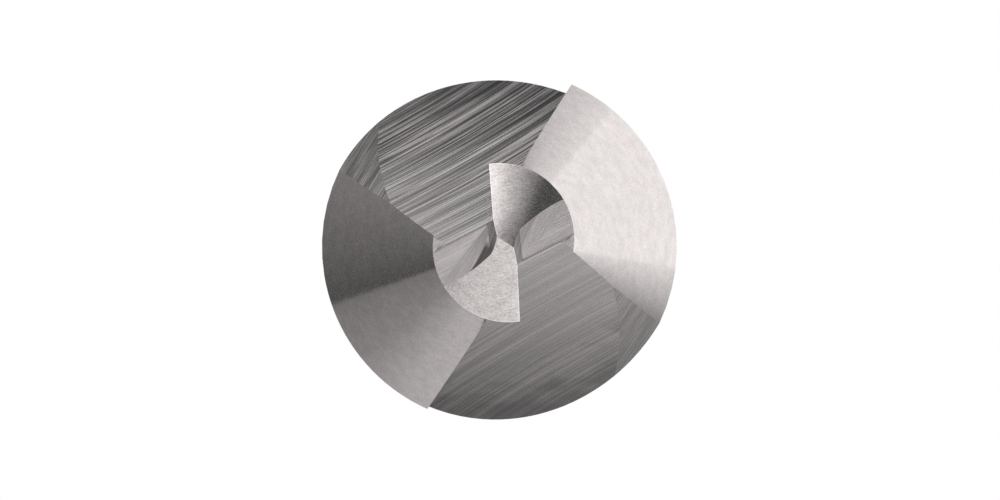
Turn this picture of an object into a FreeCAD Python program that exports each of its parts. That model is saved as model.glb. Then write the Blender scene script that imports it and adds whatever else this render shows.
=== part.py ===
import FreeCAD, Part
import math
import os

from FreeCAD import Rotation, Vector

# Sizes of the double-ended center drill, in millimetres and degrees

body_diameter = 11.1125
pilot_diameter = 4.7625
overall_length = 69.85
countersink_angle = 60.0
point_angle = 118.0
pilot_side_length = 1.98

# Angles round the axis of the first tooth, seen from its own tip
pilot_corner_azimuth = 101.1
countersink_corner_azimuth = 66.05
tooth_divider_azimuth = 147.0

# Clearance ground behind the pilot edge and behind the countersink edge
relief_turn = 35.0
pilot_relief_offset = 0.17
countersink_relief_offset = 0.06
land_reach = 2.0

# Flute: a flank ground by a large wheel, a flat web and a rake wall
wheel_radius = 140.0
wheel_swing = 9.0
wheel_half_width = 9.0
mark_azimuth = 27.0
mark_descent = 50.52
wheel_lowest_along = -6.0
flank_offset = 2.75
flank_slope = 0.6706
web_half_thickness = 0.74
web_corner_radius = 0.4
rake_wall_azimuth = 19.7

# Facet that clears the heel of the land
heel_facet_azimuth = 99.4
heel_facet_tilt = 22.3
heel_facet_distance = 2.882
heel_facet_top_share = 0.67

# Web thinning gash: the wheel's flat side and its rounded corner, placed
# from the point of the axis that is level with the pilot's corner
gash_azimuth = 172.7
gash_tilt = 36.5
gash_distance = 0.829
gash_corner_azimuth = 99.5
gash_corner_tilt = -22.5
gash_corner_radius = 2.58
gash_corner_side = 2.71
gash_corner_rise = 2.05

# Point flank: part of a cone that falls away behind the lip
lip_azimuth = 93.5
lip_relief_angle = 10.0
flank_cone_half_angle = 37.0
flank_cone_reach = 4.8
chisel_overlap = 0.2

# Sizes that follow from those above

body_radius = body_diameter / 2
pilot_radius = pilot_diameter / 2
cone_half_angle = math.radians(countersink_angle / 2)
cone_height = (body_radius - pilot_radius) / math.tan(cone_half_angle)
corner_height = cone_height + pilot_side_length
point_height = pilot_radius / math.tan(math.radians(point_angle / 2))
tip_height = corner_height + point_height
blank_height = tip_height + land_reach
heel_facet_top = heel_facet_top_share * cone_height
cutter_size = overall_length

axis_up = Vector(0, 0, 1)


def direction(azimuth, tilt=0.0):
    """Unit vector at an azimuth round the axis, raised by a tilt, both in degrees."""
    turn, rise = math.radians(azimuth), math.radians(tilt)
    level = math.cos(rise)
    return Vector(level * math.cos(turn), level * math.sin(turn), math.sin(rise))


def pilot_corner():
    """Outer end of the lip, on the pilot's edge."""
    return direction(pilot_corner_azimuth) * pilot_radius + axis_up * corner_height


def countersink_corner():
    """Outer end of the countersink's edge, on the body."""
    return direction(countersink_corner_azimuth) * body_radius


def half_space(normal, distance):
    """Large block that fills the space beyond a plane, on the side its normal points to."""
    block = Part.makeBox(cutter_size, cutter_size, cutter_size)
    block.translate(Vector(-cutter_size / 2, -cutter_size / 2, 0))
    block.Placement = FreeCAD.Placement(normal * distance, Rotation(axis_up, normal)).multiply(
        block.Placement)
    return block


def relieved_radius(corner_radius, offset):
    """Radius of the offset circle that passes through the cutting corner."""
    across = offset * math.sin(math.radians(relief_turn))
    along = corner_radius - offset * math.cos(math.radians(relief_turn))
    return math.hypot(across, along)


def pilot_land():
    """Cylinder set off the axis, so that it falls away behind the pilot's edge."""
    centre = direction(pilot_corner_azimuth + relief_turn) * pilot_relief_offset
    radius = relieved_radius(pilot_radius, pilot_relief_offset)
    return Part.makeCylinder(radius, blank_height, centre, axis_up)


def countersink_land():
    """Cone set off the axis, so that it falls away behind the countersink's edge.

    It is turned so that the line where its surface closes falls in the flute.
    """
    centre = direction(countersink_corner_azimuth + relief_turn) * countersink_relief_offset
    spread = land_reach * math.tan(cone_half_angle)
    base_radius = relieved_radius(body_radius, countersink_relief_offset) + spread
    height = 2 * land_reach + cone_height
    top_radius = base_radius - height * math.tan(cone_half_angle)
    centre.z = -land_reach
    cone = Part.makeCone(base_radius, top_radius, height, centre, axis_up)
    cone.rotate(centre, axis_up, tooth_divider_azimuth)
    return cone


def tooth_side(overlap=0.0):
    """The space on one tooth's side of the drill, with an overlap past the axis."""
    return half_space(direction(tooth_divider_azimuth - 90), -overlap)


def land_cutter():
    """Everything outside the countersink land and the pilot land on one tooth's side."""
    above = half_space(axis_up, -land_reach)
    return tooth_side().common(above).cut(countersink_land()).cut(pilot_land())


def wheel_profile():
    """Outline of the flute wheel's rim: straight flank, rounded corner, flat web side."""
    bend = math.atan(flank_slope)
    corner = (flank_offset - web_half_thickness) / flank_slope
    back_off = web_corner_radius * math.tan(bend / 2)
    outer = Vector(-wheel_half_width, 0, flank_offset + flank_slope * wheel_half_width)
    arc_start = Vector(corner - back_off * math.cos(bend), 0, web_half_thickness + back_off * math.sin(bend))
    arc_end = Vector(corner + back_off, 0, web_half_thickness)
    rise = web_corner_radius * (1 - math.cos(bend / 2))
    arc_middle = Vector(arc_end.x - web_corner_radius * math.sin(bend / 2), 0, web_half_thickness + rise)
    inner = Vector(wheel_half_width, 0, web_half_thickness)
    inner_top = Vector(wheel_half_width, 0, body_diameter + land_reach)
    outer_top = Vector(-wheel_half_width, 0, body_diameter + land_reach)
    edges = [Part.makeLine(outer, arc_start)]
    edges.append(Part.Arc(arc_start, arc_middle, arc_end).toShape())
    edges.append(Part.makeLine(arc_end, inner))
    edges.append(Part.makeLine(inner, inner_top))
    edges.append(Part.makeLine(inner_top, outer_top))
    edges.append(Part.makeLine(outer_top, outer))
    return Part.Face(Part.Wire(edges))


def grinding_wheel():
    """The part of the wheel that meets the drill, placed along the grinding marks."""
    hub = Vector(0, 0, wheel_radius)
    profile = wheel_profile()
    profile.rotate(hub, Vector(1, 0, 0), -wheel_swing)
    wheel = profile.revolve(hub, Vector(1, 0, 0), 2 * wheel_swing)
    wheel.translate(Vector(0, wheel_lowest_along, 0))
    across = direction(mark_azimuth, 90 - mark_descent)
    along = direction(mark_azimuth, -mark_descent)
    outward = direction(mark_azimuth + 90)
    wheel.Placement = FreeCAD.Placement(Vector(), Rotation(across, along, outward, "XYZ")).multiply(
        wheel.Placement)
    return wheel


def open_side():
    """The space in front of the rake wall, a plane through the pilot's corner and the countersink's."""
    slope = pilot_corner() - countersink_corner()
    lean = -slope.dot(direction(rake_wall_azimuth)) / slope.z
    wall_normal = direction(rake_wall_azimuth, math.degrees(math.atan(lean)))
    return half_space(wall_normal * -1, -wall_normal.dot(pilot_corner()))


def flute_cutter():
    """What the wheel takes away for one flute, up to the rake wall."""
    return grinding_wheel().common(open_side())


def heel_facet_cutter():
    """What the facet takes off the heel of the land, below the pilot."""
    facet = half_space(direction(heel_facet_azimuth, heel_facet_tilt), heel_facet_distance)
    below_pilot = half_space(axis_up * -1, -heel_facet_top)
    return facet.common(below_pilot).common(open_side())


def gash_wheel_corner():
    """Rounded corner of the gash wheel, and all that lies on its outer side."""
    along = direction(gash_corner_azimuth, gash_corner_tilt)
    middle = Vector(-gash_corner_side, 0, gash_corner_rise)
    start = middle - along * (cutter_size / 2)
    corner = Part.makeCylinder(gash_corner_radius, cutter_size, start, along)
    outward = direction(gash_azimuth, gash_tilt).cross(along).normalize()
    return corner.fuse(half_space(outward, outward.dot(middle)))


def gash_cutter():
    """Gash that thins the web in front of one lip and clears the heel behind the other."""
    side = half_space(direction(gash_azimuth, gash_tilt), gash_distance)
    gash = side.common(gash_wheel_corner())
    gash.translate(axis_up * corner_height)
    return gash


def flank_cone_frame():
    """Apex and axis of the cone on which one point flank lies, the lip being one of its lines."""
    lip = direction(lip_azimuth, point_angle / 2 - 90)
    behind = direction(lip_azimuth - 90, -lip_relief_angle)
    normal = behind.cross(lip).normalize()
    half_angle = math.radians(flank_cone_half_angle)
    cone_axis = lip * math.cos(half_angle) - normal * math.sin(half_angle)
    return pilot_corner() - lip * flank_cone_reach, cone_axis


def flank_cone():
    """The flank cone itself, long enough to pass right through the pilot."""
    apex, cone_axis = flank_cone_frame()
    base_radius = cutter_size * math.tan(math.radians(flank_cone_half_angle))
    return Part.makeCone(0, base_radius, cutter_size, apex, cone_axis)


def chisel_height():
    """Height at which the flank cone crosses the drill's own axis: the tip of the drill."""
    apex, cone_axis = flank_cone_frame()
    spread = math.cos(math.radians(flank_cone_half_angle)) ** 2
    across = -(apex.x * cone_axis.x + apex.y * cone_axis.y)
    square = cone_axis.z ** 2 - spread
    half_linear = across * cone_axis.z
    constant = across ** 2 - spread * (apex.x ** 2 + apex.y ** 2)
    root = math.sqrt(half_linear ** 2 - square * constant)
    return apex.z - (half_linear + root) / square


def flank_cutter():
    """What is ground off above one point flank, on that tooth's side only."""
    above = half_space(axis_up, cone_height)
    return tooth_side(chisel_overlap).common(above).cut(flank_cone())


def turned(shape, angle=180.0, axis=axis_up):
    """Copy of a shape turned about an axis through the origin."""
    copy = shape.copy()
    copy.rotate(Vector(), axis, angle)
    return copy


def end_cutters():
    """What is ground away at the upper end, one shape for each cut on both teeth."""
    cone_base_level = overall_length / 2 - chisel_height()
    cuts = []
    for cutter in (land_cutter(), flute_cutter(), heel_facet_cutter(), gash_cutter(), flank_cutter()):
        cutter.translate(axis_up * cone_base_level)
        cuts.append(cutter.fuse(turned(cutter)))
    return cuts


def center_drill():
    """A ground bar with both its ends cut alike, as one solid."""
    drill = Part.makeCylinder(body_radius, overall_length, axis_up * (-overall_length / 2), axis_up)
    for cutter in end_cutters():
        drill = drill.cut(cutter).cut(turned(cutter, 180, Vector(1, 0, 0)))
    return drill


os.makedirs("parts", exist_ok=True)
center_drill().exportStep("parts/center_drill.step")
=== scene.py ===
"""Looks and staging of the double-ended center drill, seen end on from one tip."""

import logging
import math
from collections.abc import Callable
from dataclasses import dataclass, field, replace
from enum import Enum

import bpy
import numpy as np
from mathutils import Matrix, Vector


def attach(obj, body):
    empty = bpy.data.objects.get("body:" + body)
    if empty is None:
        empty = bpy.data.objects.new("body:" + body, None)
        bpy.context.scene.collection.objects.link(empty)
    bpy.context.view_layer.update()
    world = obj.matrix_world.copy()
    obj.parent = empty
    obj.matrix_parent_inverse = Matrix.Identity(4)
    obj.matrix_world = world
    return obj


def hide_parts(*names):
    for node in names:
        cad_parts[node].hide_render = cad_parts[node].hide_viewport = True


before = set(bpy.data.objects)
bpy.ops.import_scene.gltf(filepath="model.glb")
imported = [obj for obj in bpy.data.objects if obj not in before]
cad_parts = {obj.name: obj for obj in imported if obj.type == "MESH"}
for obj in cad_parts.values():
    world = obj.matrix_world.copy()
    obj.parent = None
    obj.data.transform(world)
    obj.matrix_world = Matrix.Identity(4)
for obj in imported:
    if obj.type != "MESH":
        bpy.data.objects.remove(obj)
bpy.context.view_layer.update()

log = logging.getLogger("scene")

# One millimetre in metres
MM = 0.001
# A length too small to matter, which keeps another one from being nothing and breaks ties
TINY = 1e-9
# Step in millimetres over which a slope is measured
PROBE = 1e-4
# A distance in millimetres that lies past the reach of every edge's finish
FAR = 1.0


class Face(Enum):
    """The ground surfaces of one tooth, and the body that all of them share."""

    BODY = "body"
    LAND = "countersink_land"
    PILOT = "pilot_land"
    FLANK = "point_flank"
    FLOOR = "flute_floor"
    CORNER = "flute_corner"
    WEB = "flute_web"
    RAKE = "rake_wall"
    FACET = "heel_facet"
    GASH = "gash_outer"
    THINNING = "gash_inner"


def unit(azimuth: float, tilt: float = 0.0) -> np.ndarray:
    """Return the unit vector at an azimuth round the axis and a tilt above the level, in degrees."""
    turn, rise = math.radians(azimuth), math.radians(tilt)
    return np.array([math.cos(rise) * math.cos(turn), math.cos(rise) * math.sin(turn), math.sin(rise)])


def in_metres(lengths: tuple[float, ...]) -> list[float]:
    """Return lengths in metres, given in millimetres."""
    return [length * MM for length in lengths]


@dataclass(frozen=True)
class ToothShape:
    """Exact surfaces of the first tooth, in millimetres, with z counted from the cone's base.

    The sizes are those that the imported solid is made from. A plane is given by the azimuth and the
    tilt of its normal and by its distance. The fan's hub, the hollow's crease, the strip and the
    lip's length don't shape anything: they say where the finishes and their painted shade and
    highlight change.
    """

    body_radius: float = 5.55625
    pilot_radius: float = 2.38125
    half_length: float = 34.925
    cone_half_angle: float = math.radians(30.0)
    pilot_side: float = 1.98
    pilot_azimuth: float = 101.1
    rim_azimuth: float = 66.05
    relief_turn: float = 35.0
    pilot_relief: float = 0.17
    rim_relief: float = 0.06
    wheel_radius: float = 140.0
    mark_azimuth: float = 27.0
    mark_descent: float = 50.52
    wheel_lowest: float = -6.0
    flank_offset: float = 2.75
    flank_slope: float = 0.6706
    web_half: float = 0.74
    web_corner: float = 0.4
    rake_azimuth: float = 19.7
    facet_plane: tuple[float, float, float] = (99.4, 22.3, 2.882)
    gash_plane: tuple[float, float, float] = (172.7, 36.5, 0.829)
    thinning_axis: tuple[float, float] = (99.5, -22.5)
    thinning_middle: tuple[float, float, float] = (-2.71, 0.0, 2.05)
    thinning_radius: float = 2.58
    lip_azimuth: float = 93.5
    lip_tilt: float = -31.0
    lip_relief: float = 10.0
    flank_half_angle: float = math.radians(37.0)
    flank_reach: float = 4.8
    fan_hub: tuple[float, float] = (-0.42, 0.62)
    hollow_middle: tuple[float, float] = (-4.04, 1.325)
    hollow_radius: float = 3.72
    strip_opening: float = 0.055
    lip_length: float = 1.5

    @property
    def corner_level(self) -> float:
        """Return the height of the pilot's corner above the cone's base."""
        cone_height = (self.body_radius - self.pilot_radius) / math.tan(self.cone_half_angle)
        return cone_height + self.pilot_side

    @property
    def pilot_corner(self) -> np.ndarray:
        """Return the outer end of the lip."""
        return unit(self.pilot_azimuth) * self.pilot_radius + np.array([0, 0, self.corner_level])

    @property
    def wheel_axes(self) -> tuple[np.ndarray, np.ndarray, np.ndarray]:
        """Work out the flute wheel's directions.

        Returns:
            The unit vectors across the marks, along them and out of the steel.
        """
        across = unit(self.mark_azimuth, 90 - self.mark_descent)
        along = unit(self.mark_azimuth, -self.mark_descent)
        return across, along, unit(self.mark_azimuth + 90)

    @property
    def rake_plane(self) -> tuple[np.ndarray, float]:
        """Work out the rake wall, a plane through the pilot's corner and the countersink's.

        Returns:
            The plane's normal and its distance from the origin.
        """
        slope = self.pilot_corner - unit(self.rim_azimuth) * self.body_radius
        lean = -slope @ unit(self.rake_azimuth) / slope[2]
        normal = unit(self.rake_azimuth, math.degrees(math.atan(lean)))
        return normal, float(normal @ self.pilot_corner)

    @property
    def flank_cone(self) -> tuple[np.ndarray, np.ndarray]:
        """Work out the cone on which the point flank lies, the lip being one of its lines.

        Returns:
            The cone's apex and the direction of its axis.
        """
        lip = unit(self.lip_azimuth, self.lip_tilt)
        normal = np.cross(unit(self.lip_azimuth - 90, -self.lip_relief), lip)
        normal /= np.linalg.norm(normal)
        axis = lip * math.cos(self.flank_half_angle) - normal * math.sin(self.flank_half_angle)
        return self.pilot_corner - lip * self.flank_reach, axis

    @property
    def tip_level(self) -> float:
        """Work out the tip, where the flank cone crosses the drill's axis.

        With a the apex, n the cone's axis and k = cos^2 of its half angle, the height z solves
        ((p - a) . n)^2 = k |p - a|^2 for p = (0, 0, z).

        Returns:
            The tip's height above the cone's base.
        """
        apex, axis = self.flank_cone
        spread = math.cos(self.flank_half_angle) ** 2
        across = -apex[:2] @ axis[:2]
        square = axis[2] ** 2 - spread
        linear = across * axis[2]
        root = math.sqrt(linear ** 2 - square * (across ** 2 - spread * (apex[:2] @ apex[:2])))
        return float(apex[2] - (linear + root) / square)

    @property
    def base_level(self) -> float:
        """Return the height of the cone's base above the middle of the drill."""
        return self.half_length - self.tip_level

    def wheel_polar(self, p: np.ndarray) -> tuple[np.ndarray, np.ndarray, np.ndarray]:
        """Turn points into the flute wheel's own coordinates.

        With q = (across, along - lowest, out) the hub is the line out = wheel radius R, and a
        point is given by across, R * atan2(along, R - out) and R - |(along, R - out)|.

        Args:
            p: points, one per row.

        Returns:
            The coordinates across the marks, along them and out of the steel.
        """
        across, along, out = (p @ axis for axis in self.wheel_axes)
        along = along - self.wheel_lowest
        inward = self.wheel_radius - out
        round_hub = self.wheel_radius * np.arctan2(along, inward)
        return across, round_hub, self.wheel_radius - np.hypot(along, inward)

    def plane(self, p: np.ndarray, normal: tuple[float, float, float], level: float = 0.0) -> np.ndarray:
        """Return the distance of points from a plane given by azimuth, tilt and distance past a level."""
        return (p - np.array([0, 0, level])) @ unit(*normal[:2]) - normal[2]

    def offset_circle(self, azimuth: float, radius: float, relief: float) -> tuple[np.ndarray, float]:
        """Work out the circle of a relieved land, set off the axis and through its corner.

        Args:
            azimuth: the corner's angle round the axis, in degrees.
            radius: the corner's distance from the axis.
            relief: how far the circle's centre is set off the axis.

        Returns:
            The circle's centre and its radius.
        """
        turn = math.radians(self.relief_turn)
        through = math.hypot(relief * math.sin(turn), radius - relief * math.cos(turn))
        return unit(azimuth + self.relief_turn)[:2] * relief, through

    def distance(self, face: Face, p: np.ndarray) -> np.ndarray:
        """Return the signed distance of points from one surface, taken as unlimited.

        Args:
            face: the surface.
            p: points in millimetres, one per row, with z counted from the cone's base.

        Returns:
            One distance per point.
        """
        if face is Face.BODY:
            return np.hypot(p[:, 0], p[:, 1]) - self.body_radius
        if face is Face.LAND:
            centre, radius = self.offset_circle(self.rim_azimuth, self.body_radius, self.rim_relief)
            reach = np.hypot(p[:, 0] - centre[0], p[:, 1] - centre[1])
            narrowing = p[:, 2] * math.tan(self.cone_half_angle)
            return (reach - radius + narrowing) * math.cos(self.cone_half_angle)
        if face is Face.PILOT:
            centre, radius = self.offset_circle(self.pilot_azimuth, self.pilot_radius, self.pilot_relief)
            return np.hypot(p[:, 0] - centre[0], p[:, 1] - centre[1]) - radius
        if face is Face.FLANK:
            apex, axis = self.flank_cone
            along = (p - apex) @ axis
            out = np.linalg.norm(p - apex - along[:, None] * axis, axis=1)
            return out * math.cos(self.flank_half_angle) - along * math.sin(self.flank_half_angle)
        if face is Face.RAKE:
            normal, distance = self.rake_plane
            return p @ normal - distance
        if face is Face.FACET:
            return self.plane(p, self.facet_plane)
        if face is Face.GASH:
            return self.plane(p, self.gash_plane, self.corner_level)
        if face is Face.THINNING:
            out = p - np.array(self.thinning_middle) - np.array([0, 0, self.corner_level])
            return self.thinning_radius - np.linalg.norm(np.cross(out, unit(*self.thinning_axis)), axis=1)
        return self.wheel_distance(face, p)

    def wheel_distance(self, face: Face, p: np.ndarray) -> np.ndarray:
        """Return the distance of points from what one part of the flute wheel's rim has ground.

        In the wheel's coordinates (across u, out w) the web is w = web_half, the floor is
        w = offset - slope * u, and the corner is the circle that touches both.

        Args:
            face: the web, the floor or the corner between them.
            p: points in millimetres, one per row, with z counted from the cone's base.

        Returns:
            One distance per point.
        """
        across, _, out = self.wheel_polar(p)
        if face is Face.WEB:
            return out - self.web_half
        bend = math.atan(self.flank_slope)
        if face is Face.FLOOR:
            return (out - self.flank_offset + self.flank_slope * across) * math.cos(bend)
        corner = (self.flank_offset - self.web_half) / self.flank_slope
        middle = corner + self.web_corner * math.tan(bend / 2)
        return self.web_corner - np.hypot(across - middle, out - self.web_half - self.web_corner)

    def fan(self, p: np.ndarray) -> np.ndarray:
        """Work out coordinates for marks that fan out from a hub.

        Args:
            p: points in millimetres, one per row.

        Returns:
            For each point its heading from the hub in radians, its distance from it, and its height.
        """
        out = p[:, :2] - np.array(self.fan_hub)
        heading = np.mod(np.arctan2(out[:, 1], out[:, 0]), 2 * math.pi)
        return np.stack([heading, np.hypot(out[:, 0], out[:, 1]), p[:, 2]], axis=1)

    def hollow(self, p: np.ndarray) -> np.ndarray:
        """Work out coordinates for the thinned hollow, which lies outside the circle of its crease.

        Args:
            p: points in millimetres, one per row.

        Returns:
            For each point |p - middle| - radius, the arc's angle times the radius, and its height.
        """
        out = p[:, :2] - np.array(self.hollow_middle)
        heading = np.arctan2(out[:, 1], out[:, 0])
        into = np.hypot(out[:, 0], out[:, 1]) - self.hollow_radius
        return np.stack([into, heading * self.hollow_radius, p[:, 2]], axis=1)

    def edges(self, face: Face, p: np.ndarray) -> np.ndarray:
        """Return how far points are from the edges with a painted highlight, past the strip, and from the
        kink.

        In plan, with t the way from the pilot's corner inward along the lip and g the way off the
        lip into the flute, the strip ends where g = opening * t. The edges with a painted highlight
        on a point flank are its lip, its thinned edge and the pilot's outline; other surfaces have
        the outline only.

        Args:
            face: the surface.
            p: points on it, in millimetres, with z counted from the cone's base.

        Returns:
            One row of three distances per point.
        """
        out = p[:, :2] - self.pilot_corner[:2]
        off = out @ unit(self.lip_azimuth + 90)[:2]
        inward = -out @ unit(self.lip_azimuth)[:2]
        # distances to the edges that get a painted highlight: the pilot's outline, and on a flank its lip
        # and thinned edge
        bright = np.abs(self.distance(Face.PILOT, p))
        if face is Face.FLANK:
            thinned = np.where(inward > self.lip_length, np.abs(self.distance(Face.THINNING, p)), FAR)
            bright = np.minimum(bright, np.minimum(np.abs(off), thinned))
        # the strip's border: the strip gets painted shade and no marks
        strip = np.where(off > 0, off - self.strip_opening * inward, FAR)
        # the crease where a painted shadow line falls on the gash
        kink = np.abs(self.distance(Face.WEB, p))
        return np.stack([bright, strip, kink], axis=1)

    def gradient(self, face: Face, p: np.ndarray) -> np.ndarray:
        """Return for each point the unit gradient of its signed distance from a surface."""
        return slope_of(lambda near: self.distance(face, near), p)


def slope_of(height: Callable[[np.ndarray], np.ndarray], p: np.ndarray) -> np.ndarray:
    """Return the unit directions in which a function of points grows, by central differences."""
    slope = np.stack([height(p + axis) - height(p - axis) for axis in np.eye(3) * PROBE], axis=1)
    return slope / np.maximum(np.linalg.norm(slope, axis=1, keepdims=True), TINY * PROBE)


# The half turns that bring each of the four teeth onto the first one, and back
TURNS = (np.array([1, 1, 1]), np.array([-1, -1, 1]), np.array([1, -1, -1]), np.array([-1, 1, -1]))


@dataclass(frozen=True)
class Net:
    """Triangles between points in millimetres, each with a key to the surface that it lies on.

    The key is the surface's place in Face times the number of turns, plus the turn.
    """

    points: np.ndarray
    triangles: np.ndarray
    keys: np.ndarray


@dataclass
class DrillSkin:
    """The drill's visible skin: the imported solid's faces, made finer and laid on the exact surfaces.

    Lengths are in millimetres and headings in degrees. The three mesh lengths are the longest
    edges wanted on the ground surfaces, on the body and at the point.
    """

    shape: ToothShape = field(default_factory=ToothShape)
    weld: float = 1e-4
    end_mesh: float = 0.21
    body_mesh: float = 0.7
    point_mesh: float = 0.095
    growth: float = 1.6
    rounds: int = 14
    growth_rounds: int = 4
    settle_rounds: int = 6
    settle_step: float = 0.03
    lean_weight: float = 0.2
    facet_heading: float = 61.0
    gash_heading: float = 28.0

    def build(self, source: bpy.types.Object) -> bpy.types.Object:
        """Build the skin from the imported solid.

        Args:
            source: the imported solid's object.

        Returns:
            The finished mesh object, with one material index per surface.
        """
        net = self.welded(source)
        for _ in range(self.rounds):
            net = self.refined(net)
        return self.mesh(self.settled(net))

    def welded(self, source: bpy.types.Object) -> Net:
        """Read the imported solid.

        Args:
            source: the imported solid's object.

        Returns:
            Its points, each once, and its triangles without empty ones, with their keys.
        """
        mesh = source.data
        mesh.calc_loop_triangles()
        flat = np.empty(len(mesh.vertices) * 3)
        mesh.vertices.foreach_get("co", flat)
        corners = np.empty(len(mesh.loop_triangles) * 3, dtype=np.int64)
        mesh.loop_triangles.foreach_get("vertices", corners)
        points = flat.reshape(-1, 3) / MM
        _, first, same = np.unique(np.round(points / self.weld), axis=0, return_index=True,
                                   return_inverse=True)
        triangles = same.reshape(-1)[corners].reshape(-1, 3)
        a, b, c = triangles.T
        triangles = triangles[(a != b) & (b != c) & (c != a)]
        return Net(points[first], triangles, self.classify(points[first][triangles]))

    def local(self, points: np.ndarray, turn: int) -> np.ndarray:
        """Move points onto the first tooth from the tooth that a turn names."""
        return points * TURNS[turn] - np.array([0, 0, self.shape.base_level])

    def classify(self, corners: np.ndarray) -> np.ndarray:
        """Give each triangle the surface that it lies on.

        The error is the largest distance of its corners, plus how far its normal leans from the
        surface's, so that a triangle in a corner goes to the surface that it is parallel to.

        Args:
            corners: the three points of each triangle.

        Returns:
            One key per triangle.
        """
        normal = np.cross(corners[:, 1] - corners[:, 0], corners[:, 2] - corners[:, 0])
        normal /= np.maximum(np.linalg.norm(normal, axis=1, keepdims=True), TINY)
        centre = corners.mean(axis=1)
        errors = []
        for face in Face:
            for turn in range(len(TURNS)):
                near = np.max([np.abs(self.shape.distance(face, self.local(corners[:, k], turn)))
                               for k in range(3)], axis=0)
                slope = self.shape.gradient(face, self.local(centre, turn)) * TURNS[turn]
                lean = 1 - np.abs(np.einsum("ij,ij->i", slope, normal))
                errors.append(near + self.lean_weight * lean)
        return np.argmin(errors, axis=0)

    def longest(self, net: Net, place: np.ndarray) -> np.ndarray:
        """Return the longest length wanted of each edge.

        It is short at the point, longer on the ground surfaces and longest on the plain body, and
        grows by one factor from triangle to triangle where a fine surface meets a coarse one.

        Args:
            net: the triangles.
            place: the three edges of each triangle.

        Returns:
            One length in millimetres per edge.
        """
        level = np.abs(net.points[net.triangles][:, :, 2]).mean(axis=1)
        corner = self.shape.base_level + self.shape.corner_level - self.shape.pilot_side
        wanted = np.where(level > corner, self.point_mesh, self.end_mesh)
        body = net.keys // len(TURNS) == list(Face).index(Face.BODY)
        wanted = np.where(body, self.body_mesh, wanted)
        wish = np.full(place.max() + 1, self.body_mesh)
        np.minimum.at(wish, place, wanted[:, None])
        for _ in range(self.growth_rounds):
            np.minimum.at(wish, place, self.growth * wish[place].min(axis=1, keepdims=True))
        return wish

    def refined(self, net: Net) -> Net:
        """Halve each triangle that has an edge longer than wanted, across its longest edge.

        An edge is halved only where it is the longest one of each triangle that it belongs to, so
        that the mesh stays closed. Each length gets a tiny share of its own, so that no two tie.

        Args:
            net: the triangles.

        Returns:
            The finer triangles.
        """
        points, triangles, keys = net.points, net.triangles, net.keys
        sides = np.stack([triangles, np.roll(triangles, -1, axis=1)], axis=-1)
        edges, place = np.unique(np.sort(sides.reshape(-1, 2), axis=1), axis=0, return_inverse=True)
        place = place.reshape(-1, 3)
        ends = points[edges]
        length = np.linalg.norm(ends[:, 0] - ends[:, 1], axis=1)
        length = length + np.arange(len(edges)) * TINY
        wish = self.longest(net, place)
        top = np.argmax(length[place], axis=1)
        row = np.arange(len(triangles))
        votes = np.bincount(place[row, top], minlength=len(edges))
        halved = (votes == np.bincount(place.reshape(-1), minlength=len(edges))) & (length > wish)
        number = np.cumsum(halved) - 1 + len(points)
        cut = halved[place[row, top]]
        turned = triangles[row[:, None], (top[:, None] + np.arange(3)) % 3][cut]
        middle = number[place[row, top]][cut]
        a, b, c = turned.T
        halves = [np.stack([a, middle, c], axis=1), np.stack([middle, b, c], axis=1)]
        return Net(np.concatenate([points, ends[halved].mean(axis=1)]),
                   np.concatenate([triangles[~cut], *halves]),
                   np.concatenate([keys[~cut], keys[cut], keys[cut]]))

    def settled(self, net: Net) -> Net:
        """Lay the points on the exact surfaces.

        A point moves by p - d(p) * grad d(p) for each surface that meets in it, and a few rounds
        bring a point on an edge to where its surfaces cross.

        Args:
            net: the triangles.

        Returns:
            The same triangles between the moved points.
        """
        points = net.points.copy()
        members = [(key, np.unique(net.triangles[net.keys == key])) for key in np.unique(net.keys)]
        faces = list(Face)
        for _ in range(self.settle_rounds):
            for key, index in members:
                place, turn = divmod(key, len(TURNS))
                face, near = faces[place], self.local(points[index], turn)
                away = self.shape.distance(face, near)[:, None]
                step = np.clip(away, -self.settle_step, self.settle_step)
                points[index] -= step * self.shape.gradient(face, near) * TURNS[turn]
        return replace(net, points=points)

    def mesh(self, net: Net) -> bpy.types.Object:
        """Make the mesh object, with exact normals and what the finishes need.

        Args:
            net: the triangles.

        Returns:
            The linked object.
        """
        mesh = bpy.data.meshes.new("drill_skin")
        mesh.from_pydata((net.points * MM).tolist(), [], net.triangles.tolist())
        mesh.polygons.foreach_set("material_index", net.keys // len(TURNS))
        mesh.polygons.foreach_set("use_smooth", np.ones(len(net.triangles), dtype=bool))
        marks = self.corner_data(net)
        mesh.normals_split_custom_set(marks.pop("normal").reshape(-1, 3).tolist())
        for name, values in marks.items():
            layer = mesh.attributes.new(name, "FLOAT_VECTOR", "CORNER")
            layer.data.foreach_set("vector", values.reshape(-1))
        skin = bpy.data.objects.new("drill_skin", mesh)
        bpy.context.scene.collection.objects.link(skin)
        return skin

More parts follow.
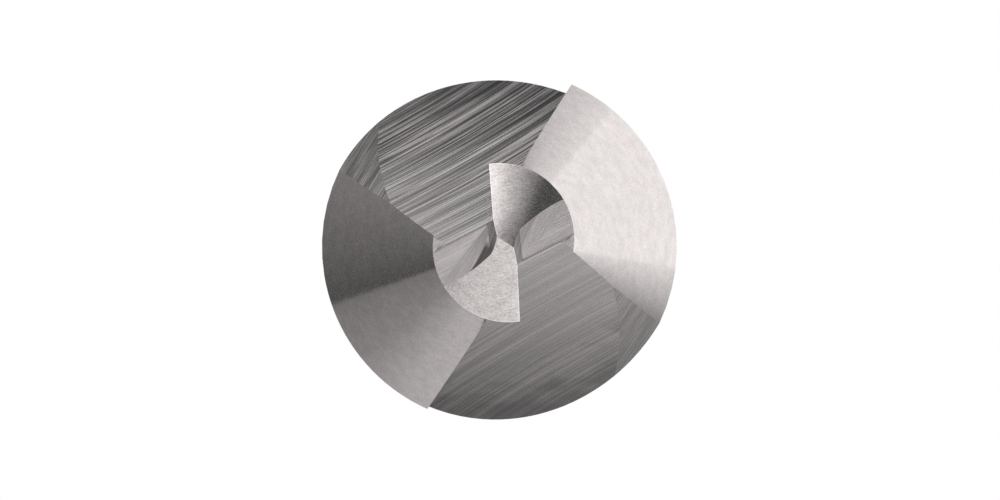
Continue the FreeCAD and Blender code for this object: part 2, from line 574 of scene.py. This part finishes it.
    def corner_data(self, net: Net) -> dict[str, np.ndarray]:
        """Work out what the finishes need at each corner of each triangle.

        Args:
            net: the triangles.

        Returns:
            By name, the exact normals, the mark coordinates (grain, fan, hollow), the direction
            across the marks, the distances from the edges with a painted highlight, past the strip and
            from the kink, and 0 or 1 for the tooth.
        """
        corners = net.points[net.triangles]
        flat = np.cross(corners[:, 1] - corners[:, 0], corners[:, 2] - corners[:, 0])
        names = ("normal", "grain", "fan", "hollow", "across", "edge", "tooth")
        marks = {name: np.empty_like(corners) for name in names}
        faces = list(Face)
        for key in np.unique(net.keys):
            chosen = np.flatnonzero(net.keys == key)
            place, turn = divmod(key, len(TURNS))
            face, near = faces[place], self.local(corners[chosen].reshape(-1, 3), turn)
            slope = (self.shape.gradient(face, near) * TURNS[turn]).reshape(-1, 3, 3)
            marks["normal"][chosen] = slope * np.sign(np.einsum("ijk,ik->", slope, flat[chosen]))
            marks["grain"][chosen] = self.grain(face, near).reshape(-1, 3, 3)
            marks["fan"][chosen] = self.shape.fan(near).reshape(-1, 3, 3)
            marks["hollow"][chosen] = self.shape.hollow(near).reshape(-1, 3, 3)
            marks["across"][chosen] = (self.across(face, near) * TURNS[turn]).reshape(-1, 3, 3)
            marks["edge"][chosen] = self.shape.edges(face, near).reshape(-1, 3, 3)
            marks["tooth"][chosen] = turn % 2
        return marks

    def across(self, face: Face, p: np.ndarray) -> np.ndarray:
        """Return the unit direction across the marks, in which their first coordinate grows."""
        return slope_of(lambda near: self.grain(face, near)[:, 0], p)

    def grain(self, face: Face, p: np.ndarray) -> np.ndarray:
        """Return coordinates across the marks, along them, and off them, in millimetres.

        Args:
            face: the surface.
            p: points on it, with z counted from the cone's base.

        Returns:
            One row of three coordinates per point.
        """
        if face in (Face.BODY, Face.PILOT, Face.LAND):
            return np.stack([p[:, 2], p[:, 0], p[:, 1]], axis=1)
        if face in (Face.FLOOR, Face.CORNER, Face.WEB):
            return np.stack(self.shape.wheel_polar(p), axis=1)
        if face is Face.RAKE:
            across, along, out = self.shape.wheel_polar(p)
            return np.stack([out, along, across], axis=1)
        if face is Face.FACET:
            return self.straight_grain(p, unit(*self.shape.facet_plane[:2]), self.facet_heading)
        if face in (Face.GASH, Face.THINNING):
            return self.straight_grain(p, unit(*self.shape.gash_plane[:2]), self.gash_heading)
        reach = np.hypot(p[:, 0], p[:, 1])
        return np.stack([reach, np.arctan2(p[:, 1], p[:, 0]) * reach, p[:, 2]], axis=1)

    def straight_grain(self, p: np.ndarray, normal: np.ndarray, heading: float) -> np.ndarray:
        """Work out coordinates for straight marks on a plane.

        Args:
            p: points on the plane, one per row.
            normal: the plane's normal.
            heading: azimuth that the marks follow, seen from the tip.

        Returns:
            For each point its place across the marks, along them, and off the plane.
        """
        along = unit(heading)
        along[2] = -(along @ normal) / normal[2]
        along /= np.linalg.norm(along)
        return np.stack([p @ np.cross(normal, along), p @ along, p @ normal], axis=1)


# What a node's socket can be given: another socket, a number or a colour
Value = bpy.types.NodeSocket | float | tuple[float, ...]


@dataclass
class Graph:
    """A material's node tree, with one short method per kind of node."""

    tree: bpy.types.NodeTree
    noise_range: tuple[float, float] = (0.32, 0.68)

    def feed(self, socket: bpy.types.NodeSocket, value: Value) -> None:
        """Give a socket its value.

        Args:
            socket: the socket.
            value: another socket, which is linked, or a number or colour, which is written there.
        """
        if isinstance(value, bpy.types.NodeSocket):
            self.tree.links.new(value, socket)
        else:
            socket.default_value = value

    def attribute(self, name: str) -> bpy.types.NodeSocket:
        """Read a vector attribute of the mesh.

        Args:
            name: the attribute's name.

        Returns:
            Its vector.
        """
        node = self.tree.nodes.new("ShaderNodeAttribute")
        node.attribute_name = name
        return node.outputs["Vector"]

    def coordinate(self, name: str, index: int) -> bpy.types.NodeSocket:
        """Return one coordinate of a vector attribute of the mesh."""
        return self.split(self.attribute(name))[index]

    def position(self) -> bpy.types.NodeSocket:
        """Return the place on the drill, in metres from its middle."""
        return self.tree.nodes.new("ShaderNodeTexCoord").outputs["Object"]

    def split(self, vector: Value) -> tuple[bpy.types.NodeSocket, ...]:
        """Take a vector apart.

        Args:
            vector: the vector.

        Returns:
            Its three coordinates.
        """
        node = self.tree.nodes.new("ShaderNodeSeparateXYZ")
        self.feed(node.inputs["Vector"], vector)
        return tuple(node.outputs)

    def maths(self, operation: str, *values: Value) -> bpy.types.NodeSocket:
        """Work out one operation on numbers.

        Args:
            operation: the operation's name in the Math node.
            values: what it works on, in the node's order.

        Returns:
            The result.
        """
        node = self.tree.nodes.new("ShaderNodeMath")
        node.operation = operation
        for socket, value in zip(node.inputs, values):
            self.feed(socket, value)
        return node.outputs["Value"]

    def stretched(self, vector: Value, factors: tuple[float, float, float]) -> bpy.types.NodeSocket:
        """Stretch a vector along its own axes.

        Args:
            vector: the vector.
            factors: one factor per coordinate.

        Returns:
            The vector with each coordinate times its factor.
        """
        node = self.tree.nodes.new("ShaderNodeVectorMath")
        node.operation = "MULTIPLY"
        self.feed(node.inputs[0], vector)
        self.feed(node.inputs[1], factors)
        return node.outputs["Vector"]

    def noise(self, vector: Value, scale: float, detail: float = 2.0) -> bpy.types.NodeSocket:
        """Make noise, with its middle range spread over 0 to 1.

        Args:
            vector: where the noise is read.
            scale: how many of its patches fit into one unit.
            detail: how many finer layers it has.

        Returns:
            The noise.
        """
        node = self.tree.nodes.new("ShaderNodeTexNoise")
        node.inputs["Scale"].default_value = scale
        node.inputs["Detail"].default_value = detail
        self.feed(node.inputs["Vector"], vector)
        return self.ramp(node.outputs["Fac"], *self.noise_range)

    def ramp(self, value: Value, low: float, high: float, start: float = 0.0,
             end: float = 1.0) -> bpy.types.NodeSocket:
        """Map one range onto another, held at both ends.

        Args:
            value: what is mapped.
            low: where the range begins.
            high: where it ends.
            start: the result at its beginning.
            end: the result at its end.

        Returns:
            The mapped value.
        """
        node = self.tree.nodes.new("ShaderNodeMapRange")
        self.feed(node.inputs["Value"], value)
        for name, number in (("From Min", low), ("From Max", high), ("To Min", start), ("To Max", end)):
            node.inputs[name].default_value = number
        return node.outputs["Result"]

    def blend(self, factor: Value, first: Value, second: Value) -> bpy.types.NodeSocket:
        """Mix two numbers.

        Args:
            factor: from 0, the first one, to 1, the second one.
            first: the first number.
            second: the second number.

        Returns:
            The mixed number.
        """
        node = self.tree.nodes.new("ShaderNodeMix")
        for name, value in (("Factor", factor), ("A", first), ("B", second)):
            self.feed(node.inputs[name], value)
        return node.outputs["Result"]

    def blend_colour(self, factor: Value, first: Value, second: Value) -> bpy.types.NodeSocket:
        """Mix two colours.

        Args:
            factor: from 0, the first one, to 1, the second one.
            first: the first colour.
            second: the second colour.

        Returns:
            The mixed colour.
        """
        node = self.tree.nodes.new("ShaderNodeMix")
        node.data_type = "RGBA"
        enabled = [socket for socket in node.inputs if socket.enabled]
        for socket, value in zip(enabled, (factor, first, second)):
            self.feed(socket, value)
        return next(socket for socket in node.outputs if socket.enabled)

    def times(self, colour: Value, factor: Value) -> bpy.types.NodeSocket:
        """Scale a colour.

        Args:
            colour: the colour.
            factor: what it is multiplied by.

        Returns:
            The scaled colour.
        """
        node = self.tree.nodes.new("ShaderNodeVectorMath")
        node.operation = "SCALE"
        self.feed(node.inputs[0], colour)
        self.feed(node.inputs["Scale"], factor)
        return node.outputs["Vector"]


@dataclass(frozen=True)
class GroundFinish:
    """One ground steel surface: grinding marks, a soft mottle and fine specks, in millimetres.

    Marks are noise drawn out along the grain, fine ones on top of broad bands. They change the
    tone by the given share and tilt the surface by the given height. The tone also carries painted
    light: painted shade down the flute (deep), patchy painted shade towards the rim (rim), painted
    shade beside the axis (core) and a painted highlight along the lips and the pilot's outline (edge).
    """

    name: str
    warm: tuple[float, float, float] = (0.701, 0.643, 0.642)
    cool: tuple[float, float, float] = (0.682, 0.649, 0.637)
    tone: float = 1.0
    roughness: float = 0.26
    pitch: float = 0.08
    reach: float = 3.0
    mark_tone: float = 0.2
    mark_bump: float = 0.002
    band_share: float = 0.4
    mottle_size: float = 0.35
    mottle_tone: float = 0.06
    mottle_detail: float = 3.0
    tint_size: float = 0.5
    speck_size: float = 0.035
    speck_tone: float = 0.08
    speck_bump: float = 0.0006
    brushed: float = 0.5
    # painted shade: the tone's factor deep down the flute, reached over deep_levels
    deep_shade: float = 1.0
    deep_levels: tuple[float, float] = (21.0, 31.0)
    # painted shade next to the axis, on the first tooth only
    core_shade: float = 1.0
    core_radii: tuple[float, float] = (0.2, 1.1)
    # painted shade towards the flute's rim, broken into patches by noise (rim_patch, rim_swing)
    rim_shade: float = 1.0
    rim_radii: tuple[float, float] = (4.4, 5.5)
    rim_patch: float = 1.4
    scratch_tone: float = 0.0
    # painted highlight along the lips and the pilot's outline, within edge_width
    edge_highlight: float = 0.0
    edge_width: float = 0.03
    least_tone: float = 0.05
    roughness_swing: float = 0.06
    rim_swing: float = 1.2
    fine_range: tuple[float, float] = (0.2, 0.8)
    fine_detail: float = 3.0
    scratch_range: tuple[float, float] = (0.25, 0.45)
    band_stretch: tuple[float, float] = (0.2, 0.6)
    scratch_stretch: tuple[float, float] = (1.3, 0.7)

    def material(self) -> bpy.types.Material:
        """Build the material: its tone, roughness, brushed direction and relief.

        Returns:
            The finished material.
        """
        material = bpy.data.materials.new(self.name)
        material.use_nodes = True
        graph = Graph(material.node_tree)
        shader = material.node_tree.nodes["Principled BSDF"]
        grain = graph.attribute("grain")
        marks = self.marks(graph, grain)
        specks = graph.noise(grain, 1 / self.speck_size, detail=1.0)
        mottle = graph.noise(grain, 1 / self.mottle_size, self.mottle_detail)
        level: Value = self.tone
        shares = (self.mark_tone, self.mottle_tone, self.speck_tone)
        for pattern, share in zip((marks, mottle, specks), shares):
            level = self.shifted(graph, level, pattern, share)
        level = graph.maths("MULTIPLY", graph.maths("MAXIMUM", level, self.least_tone), self.shade(graph))
        tint = graph.noise(grain, 1 / self.tint_size)
        steel = graph.blend_colour(tint, (*self.warm, 1.0), (*self.cool, 1.0))
        height = graph.maths("MULTIPLY", specks, self.speck_bump)
        height = graph.maths("MULTIPLY_ADD", marks, self.mark_bump, height)
        bump = material.node_tree.nodes.new("ShaderNodeBump")
        bump.inputs["Distance"].default_value = MM
        graph.feed(bump.inputs["Height"], height)
        graph.feed(shader.inputs["Metallic"], 1.0)
        graph.feed(shader.inputs["Base Color"], graph.times(steel, level))
        roughness = self.shifted(graph, self.roughness, specks, self.roughness_swing)
        graph.feed(shader.inputs["Roughness"], roughness)
        graph.feed(shader.inputs["Anisotropic"], self.brushed)
        graph.feed(shader.inputs["Tangent"], graph.attribute("across"))
        graph.feed(shader.inputs["Normal"], bump.outputs["Normal"])
        return material

    def marks(self, graph: Graph, grain: bpy.types.NodeSocket) -> bpy.types.NodeSocket:
        """Return the marks, from 0 to 1."""
        return self.streaks(graph, grain)

    def streaks(self, graph: Graph, grain: bpy.types.NodeSocket) -> bpy.types.NodeSocket:
        """Make fine streaks on broad bands, with thin dark scratches, all drawn out along the grain.

        Args:
            graph: the material's nodes.
            grain: coordinates across, along and off the marks, in millimetres.

        Returns:
            A value from 0 to 1.
        """
        fine = graph.ramp(self.drawn(graph, grain, (1.0, 1.0), self.fine_detail), *self.fine_range)
        broad = self.drawn(graph, grain, self.band_stretch)
        thin = self.drawn(graph, grain, self.scratch_stretch)
        scratch = graph.ramp(thin, *self.scratch_range, 1 - self.scratch_tone, 1.0)
        return graph.maths("MULTIPLY", graph.blend(self.band_share, fine, broad), scratch)

    def drawn(self, graph: Graph, grain: bpy.types.NodeSocket, stretch: tuple[float, float],
              detail: float = 1.0) -> bpy.types.NodeSocket:
        """Make noise that is drawn out along the grain.

        Args:
            graph: the material's nodes.
            grain: coordinates across, along and off the marks, in millimetres.
            stretch: its closeness across and along, next to that of marks of one pitch and reach.
            detail: how many finer layers it has.

        Returns:
            The noise, from 0 to 1.
        """
        closeness = stretch[1] / self.reach
        factors = (stretch[0] / self.pitch, closeness, closeness)
        return graph.noise(graph.stretched(grain, factors), 1.0, detail)

    def shifted(self, graph: Graph, level: Value, pattern: Value, share: float) -> bpy.types.NodeSocket:
        """Return a level that a pattern from 0 to 1 moves by a share, evenly up and down."""
        raised = graph.maths("MULTIPLY_ADD", pattern, share, level)
        return graph.maths("SUBTRACT", raised, share / 2)

    def depth(self, graph: Graph, deep: float, near: float) -> bpy.types.NodeSocket:
        """Return a value that goes from deep, down the flute, to near, towards the tip, at both ends."""
        height = graph.maths("ABSOLUTE", graph.split(graph.position())[2])
        return graph.ramp(height, *in_metres(self.deep_levels), deep, near)

    def shade(self, graph: Graph) -> bpy.types.NodeSocket:
        """Work out the tone's factor of painted light: shade with depth, at the patchy rim and at the core,
        and a highlight at the edges.

        The core's painted shade lies next to the axis, on the first tooth only.

        Args:
            graph: the material's nodes.

        Returns:
            The factor.
        """
        place = graph.position()
        x, y, _ = graph.split(place)
        # painted shade: darker down the flute
        depth = self.depth(graph, self.deep_shade, 1.0)
        reach = graph.maths("SQRT", graph.maths("MULTIPLY_ADD", x, x, graph.maths("MULTIPLY", y, y)))
        # painted shade: darker next to the axis on the first tooth
        core = graph.ramp(reach, *in_metres(self.core_radii), self.core_shade, 1.0)
        core = graph.blend(graph.coordinate("tooth", 0), core, 1.0)
        # painted shade: darker towards the rim, in patches
        patches = graph.noise(place, 1 / (self.rim_patch * MM), detail=1.0)
        reach = self.shifted(graph, reach, patches, self.rim_swing * MM)
        rim = graph.ramp(reach, *in_metres(self.rim_radii), 1.0, self.rim_shade)
        # painted highlight: lighter along the lips and the pilot's outline
        edge = graph.ramp(graph.coordinate("edge", 0), 0.0, self.edge_width, 1 + self.edge_highlight, 1.0)
        shade = graph.maths("MULTIPLY", graph.maths("MULTIPLY", depth, rim), edge)
        return graph.maths("MULTIPLY", shade, core)


@dataclass(frozen=True)
class FluteFinish(GroundFinish):
    """Ground flute, with a narrow strip beside the lip that the wheel's marks don't reach, and painted
    shade on it beside the overhanging lip.
    """

    # painted shade on the strip beside the overhanging lip
    strip_shade: float = 0.8
    other_share: float = 0.25
    depth_shares: tuple[float, float] = (1.0, 1.0)
    middle: float = 0.44
    seam: float = 0.01

    def marks(self, graph: Graph, grain: bpy.types.NodeSocket) -> bpy.types.NodeSocket:
        """Make the marks round a value of 0.5, none on the strip and softer on the other tooth.

        Their strength also changes down the flute.

        Args:
            graph: the material's nodes.
            grain: coordinates across, along and off the marks, in millimetres.

        Returns:
            The marks' value.
        """
        strength = graph.blend(graph.coordinate("tooth", 0), 1.0, self.other_share)
        strength = graph.maths("MULTIPLY", self.past_strip(graph), strength)
        strength = graph.maths("MULTIPLY", self.depth(graph, *self.depth_shares), strength)
        streaks = graph.maths("SUBTRACT", self.streaks(graph, grain), self.middle)
        return graph.maths("MULTIPLY_ADD", streaks, strength, 0.5)

    def shade(self, graph: Graph) -> bpy.types.NodeSocket:
        """Return the tone's factor, with painted shade on the strip."""
        # painted shade: darker on the strip
        strip = graph.blend(self.past_strip(graph), self.strip_shade, 1.0)
        return graph.maths("MULTIPLY", strip, super().shade(graph))

    def past_strip(self, graph: Graph) -> bpy.types.NodeSocket:
        """Return 0 on the strip and 1 past it."""
        return graph.ramp(graph.coordinate("edge", 1), -self.seam, self.seam)


@dataclass(frozen=True)
class GashFinish(GroundFinish):
    """Ground gash: straight marks outside, fanned ones next to them, and a hollow at the web, darkened by
    painted shade.

    Where two factors of painted light and shade are given for the hollow, they are the first tooth's and
    the other's.
    """

    fan_spans: tuple[float, float, float, float] = (228.0, 233.0, 300.0, 330.0)
    fan_reaches: tuple[float, float] = (0.4, 1.3)
    # painted shade on the fan of the first tooth, darkest near the hub
    fan_shades: tuple[float, float] = (0.6, 0.86)
    # painted light and shade in the hollow, from its low side to its upper side, set for each tooth
    hollow_low_shading: tuple[float, float] = (0.2, 0.8)
    hollow_top_shading: tuple[float, float] = (1.15, 0.8)
    hollow_rise: tuple[float, float] = (-1.5, -1.15)
    all_hollow: bool = False
    # painted shadow along the kink between the web and the gash
    kink_shadow: float = 0.4
    kink_width: float = 0.09
    seam: float = 0.01

    def marks(self, graph: Graph, grain: bpy.types.NodeSocket) -> bpy.types.NodeSocket:
        """Make straight, fanned or curved marks, by the zone.

        Args:
            graph: the material's nodes.
            grain: coordinates across, along and off the straight marks, in millimetres.

        Returns:
            The marks, from 0 to 1.
        """
        straight = self.streaks(graph, grain)
        fanned = self.streaks(graph, graph.attribute("fan"))
        curved = self.streaks(graph, graph.attribute("hollow"))
        outer = graph.blend(self.in_fan(graph), straight, fanned)
        return graph.blend(self.in_hollow(graph), outer, curved)

    def shade(self, graph: Graph) -> bpy.types.NodeSocket:
        """Work out the tone's factor: painted shade on the fan, painted light and shade in the hollow, and
        a painted shadow along the kink.

        Args:
            graph: the material's nodes.

        Returns:
            The factor.
        """
        tooth = graph.coordinate("tooth", 0)
        # painted shade on the fan of the first tooth, darkest near the hub
        fan = graph.ramp(graph.coordinate("fan", 1), *self.fan_reaches, *self.fan_shades)
        fan = graph.blend(tooth, fan, 1.0)
        zone = graph.blend(self.in_fan(graph), 1.0, fan)
        # painted light and shade in the hollow, from its low side to its upper side, set for each tooth
        upper = graph.ramp(graph.coordinate("hollow", 1), *self.hollow_rise)
        lowest, top = graph.blend(tooth, *self.hollow_low_shading), graph.blend(tooth, *self.hollow_top_shading)
        hollow = graph.blend(upper, lowest, top)
        zone = graph.blend(self.in_hollow(graph), zone, hollow)
        # painted shadow: a dark line along the kink
        line = graph.ramp(graph.coordinate("edge", 2), 0.0, self.kink_width, self.kink_shadow, 1.0)
        return graph.maths("MULTIPLY", graph.maths("MULTIPLY", zone, line), super().shade(graph))

    def in_fan(self, graph: Graph) -> bpy.types.NodeSocket:
        """Find the fan by the heading from its hub.

        Args:
            graph: the material's nodes.

        Returns:
            1 in its span and 0 outside.
        """
        heading = graph.coordinate("fan", 0)
        turns = [math.radians(angle) for angle in self.fan_spans]
        start = graph.ramp(heading, *turns[:2])
        end = graph.ramp(heading, *turns[2:], 1.0, 0.0)
        return graph.maths("MULTIPLY", start, end)

    def in_hollow(self, graph: Graph) -> Value:
        """Find the hollow by the way past its crease.

        Args:
            graph: the material's nodes.

        Returns:
            1 inside it and 0 outside.
        """
        if self.all_hollow:
            return 1.0
        return graph.ramp(graph.coordinate("hollow", 0), -self.seam, self.seam)


FINISHES: dict[Face, GroundFinish] = {
    Face.BODY: GroundFinish("ground_body", pitch=0.06, reach=8.0, mark_tone=0.22, mark_bump=0.001),
    Face.LAND: GroundFinish("ground_land", roughness=0.13, mark_tone=0.03, mark_bump=0.0001,
                            mottle_tone=0.13, speck_size=0.06, speck_tone=0.16, speck_bump=0.0004,
                            brushed=0.3),
    Face.PILOT: GroundFinish("ground_pilot", roughness=0.24, mark_tone=0.1),
    # the flank gets a painted highlight along its lip, thinned edge and the pilot's outline
    Face.FLANK: GroundFinish("ground_flank", roughness=0.18, pitch=0.06, reach=0.22, mark_tone=0.16,
                             mark_bump=0.001, mottle_tone=0.14, speck_size=0.06, speck_tone=0.36,
                             # painted shade next to the axis on the first flank
                             edge_highlight=0.35, brushed=0.3, core_shade=0.55),
    # the floor gets painted shade down the flute and towards its rim
    Face.FLOOR: FluteFinish("ground_floor", tone=1.2, pitch=0.05, reach=6.0, mark_tone=1.7, mark_bump=0.004,
                            scratch_tone=0.9, speck_tone=0.03, band_share=0.3, deep_shade=0.42,
                            rim_shade=0.65, depth_shares=(1.8, 0.85)),
    Face.CORNER: FluteFinish("ground_corner", tone=1.1, mark_tone=1.2, scratch_tone=0.6, speck_tone=0.04),
    Face.WEB: FluteFinish("ground_web", tone=1.1, mark_tone=1.3, scratch_tone=0.6, speck_tone=0.04),
    Face.RAKE: FluteFinish("ground_rake", mark_tone=0.3),
    # the facet gets painted shade down the flute
    Face.FACET: FluteFinish("ground_facet", pitch=0.05, mark_tone=1.4, mark_bump=0.003, scratch_tone=0.6,
                            speck_tone=0.04, deep_shade=0.38, deep_levels=(21.0, 30.0), other_share=0.4),
    # the gash gets a painted highlight along the pilot's outline
    Face.GASH: GashFinish("ground_gash", roughness=0.24, pitch=0.05, reach=2.0, mark_tone=0.3,
                          scratch_tone=0.4, mark_bump=0.001, edge_highlight=0.3),
    # painted light and shade in the thinned hollow, set for each tooth
    Face.THINNING: GashFinish("ground_thinning", roughness=0.24, pitch=0.05, reach=2.0, mark_tone=0.9,
                              scratch_tone=0.4, mark_bump=0.001, hollow_low_shading=(0.55, 0.2),
                              hollow_top_shading=(1.45, 0.2), all_hollow=True, kink_shadow=1.0),
}


@dataclass(frozen=True)
class Card:
    """A curved card beside the drill that its steel reflects, dark or lit.

    It covers a span of azimuth and of tilt as seen from the tip, at one distance. Its light
    changes evenly from its lower edge to its upper edge, and by a factor round the azimuth.
    """

    name: str
    azimuths: tuple[float, float]
    tilts: tuple[float, float]
    lights: tuple[float, float]
    factors: tuple[float, float] = (1.0, 1.0)
    distance: float = 0.3
    steps: int = 12

    def build(self, tip: Vector) -> bpy.types.Object:
        """Build the card, as part of the stage.

        Its points are tip + distance * unit(azimuth, tilt) on an even grid of both angles.

        Args:
            tip: the point that the card faces.

        Returns:
            The card's object.
        """
        turn, rise = np.meshgrid(np.radians(np.linspace(*self.azimuths, self.steps + 1)),
                                 np.radians(np.linspace(*self.tilts, self.steps + 1)))
        points = np.stack([np.cos(rise) * np.cos(turn), np.cos(rise) * np.sin(turn), np.sin(rise)], axis=-1)
        points = points.reshape(-1, 3) * self.distance + np.array(tip)
        cell = np.arange(self.steps)
        first = (cell[:, None] * (self.steps + 1) + cell[None, :]).reshape(-1)
        quads = np.stack([first, first + self.steps + 1, first + self.steps + 2, first + 1], axis=1)
        mesh = bpy.data.meshes.new(self.name)
        mesh.from_pydata(points.tolist(), [], quads.tolist())
        layer = mesh.attributes.new("light", "FLOAT", "POINT")
        upward, round_axis = (np.linspace(*ends, self.steps + 1) for ends in (self.lights, self.factors))
        layer.data.foreach_set("value", np.outer(upward, round_axis).reshape(-1))
        mesh.materials.append(self.material())
        card = bpy.data.objects.new(self.name, mesh)
        card.visible_camera = False
        card.visible_shadow = False
        bpy.context.scene.collection.objects.link(card)
        return card

    def material(self) -> bpy.types.Material:
        """Build the card's material.

        Returns:
            A material that shines with the light stored on the mesh.
        """
        material = bpy.data.materials.new(self.name)
        material.use_nodes = True
        nodes = material.node_tree.nodes
        nodes.clear()
        light = nodes.new("ShaderNodeAttribute")
        light.attribute_name = "light"
        glow = nodes.new("ShaderNodeEmission")
        output = nodes.new("ShaderNodeOutputMaterial")
        material.node_tree.links.new(light.outputs["Fac"], glow.inputs["Strength"])
        material.node_tree.links.new(glow.outputs["Emission"], output.inputs["Surface"])
        return material


@dataclass
class Stage:
    """Backdrop, cards and camera of the end-on view.

    The camera's eye and target are in millimetres, with z counted from the cone's base.
    """

    shape: ToothShape = field(default_factory=ToothShape)
    lit_level: float = 0.8
    seen_level: float = 1.0
    lens: float = 167.6
    sensor: float = 36.0
    eye: tuple[float, float, float] = (-2.8455, -2.2995, 145.6)
    target: tuple[float, float, float] = (0.0144, -0.1069, 0.0)
    cards: tuple[Card, ...] = (
        Card("right_bright", (-6, 50), (-75, -24), (1.15, 1.15), (1.02, 1.0)),
        Card("right_edge", (50, 74), (-75, -12), (1.0, 1.0), (1.02, 0.62)),
        Card("right_low", (-33, -6), (-75, -12), (1.0, 1.0), (0.02, 1.03)),
        Card("right_lowest", (-45, -33), (-75, -12), (0.08, 0.08)),
        Card("right_grey", (-40, -4), (-24, -8), (0.44, 0.44)),
        Card("right_dark", (-4, 34), (-24, 22), (0.09, 0.09), distance=0.29),
        Card("right_fade", (34, 68), (-24, 30), (1.0, 1.0), (0.1, 1.0), distance=0.29),
        Card("right_glow", (68, 110), (4, 45), (1.25, 1.25), distance=0.29),
        Card("back_floor", (74, 96), (-80, -20), (0.98, 0.0)),
        Card("back_facet", (96, 140), (-80, -20), (0.6, 0.0)),
        Card("left_dark", (140, 198), (-75, -21), (0.2, 0.2), (1.5, 0.46)),
        Card("left_gash", (150, 198), (-21, -9), (0.72, 0.72)),
        Card("left_grey", (198, 218), (-75, -6), (1.0, 1.0), (0.235, 0.32)),
        Card("left_mid", (218, 236), (-75, -6), (1.0, 1.0), (0.32, 0.52)),
        Card("left_light", (236, 256), (-75, -12), (1.0, 1.0), (0.54, 0.62)),
        Card("left_high", (187, 256), (-6, 34), (0.75, 0.9)),
        Card("front_floor", (256, 315), (-80, -20), (0.9, 0.0)),
    )

    def build(self) -> None:
        """Build the backdrop, the cards and the camera."""
        self.backdrop()
        tip = Vector((0, 0, self.shape.half_length * MM))
        for card in self.cards:
            card.build(tip)
        self.camera()

    def backdrop(self) -> None:
        """Give the world a white backdrop for what sees it, and a plain level for what it lights."""
        world = bpy.data.worlds.new("backdrop")
        bpy.context.scene.world = world
        world.use_nodes = True
        world.node_tree.nodes.clear()
        graph = Graph(world.node_tree)
        rays = graph.tree.nodes.new("ShaderNodeLightPath").outputs
        seen = graph.maths("MAXIMUM", rays["Is Camera Ray"], rays["Is Transmission Ray"])
        seen = graph.maths("MAXIMUM", seen, rays["Is Glossy Ray"])
        light = graph.tree.nodes.new("ShaderNodeBackground")
        graph.feed(light.inputs["Color"], (1.0, 1.0, 1.0, 1.0))
        graph.feed(light.inputs["Strength"], graph.blend(seen, self.lit_level, self.seen_level))
        output = graph.tree.nodes.new("ShaderNodeOutputWorld")
        graph.feed(output.inputs["Surface"], light.outputs["Background"])

    def camera(self) -> None:
        """Place the camera off the axis above the tip, as the photograph was taken."""
        data = bpy.data.cameras.new("camera")
        data.lens = self.lens
        data.sensor_width = self.sensor
        camera = bpy.data.objects.new("camera", data)
        base = Vector((0, 0, self.shape.base_level))
        camera.location = (Vector(self.eye) + base) * MM
        ahead = (Vector(self.target) - Vector(self.eye)).normalized()
        right = ahead.cross(Vector((0, 1, 0))).normalized()
        up = right.cross(ahead)
        camera.rotation_euler = Matrix((right, up, -ahead)).transposed().to_euler()
        bpy.context.scene.collection.objects.link(camera)
        bpy.context.scene.camera = camera


def build_drill() -> bpy.types.Object:
    """Build the drill's skin and dress each surface in its finish.

    Returns:
        The skin's object, which stands for the solid.
    """
    skin = DrillSkin().build(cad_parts["center_drill"])
    for face in Face:
        skin.data.materials.append(FINISHES[face].material())
    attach(skin, "root")
    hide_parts("center_drill")
    return skin


def main() -> None:
    """Build the drill and its stage, and report each."""
    logging.basicConfig(level=logging.INFO)
    skin = build_drill()
    log.info("drill skin: %d faces", len(skin.data.polygons))
    Stage().build()
    bpy.context.scene.view_settings.view_transform = "Standard"
    log.info("stage built")


if __name__ == "__main__":
    main()
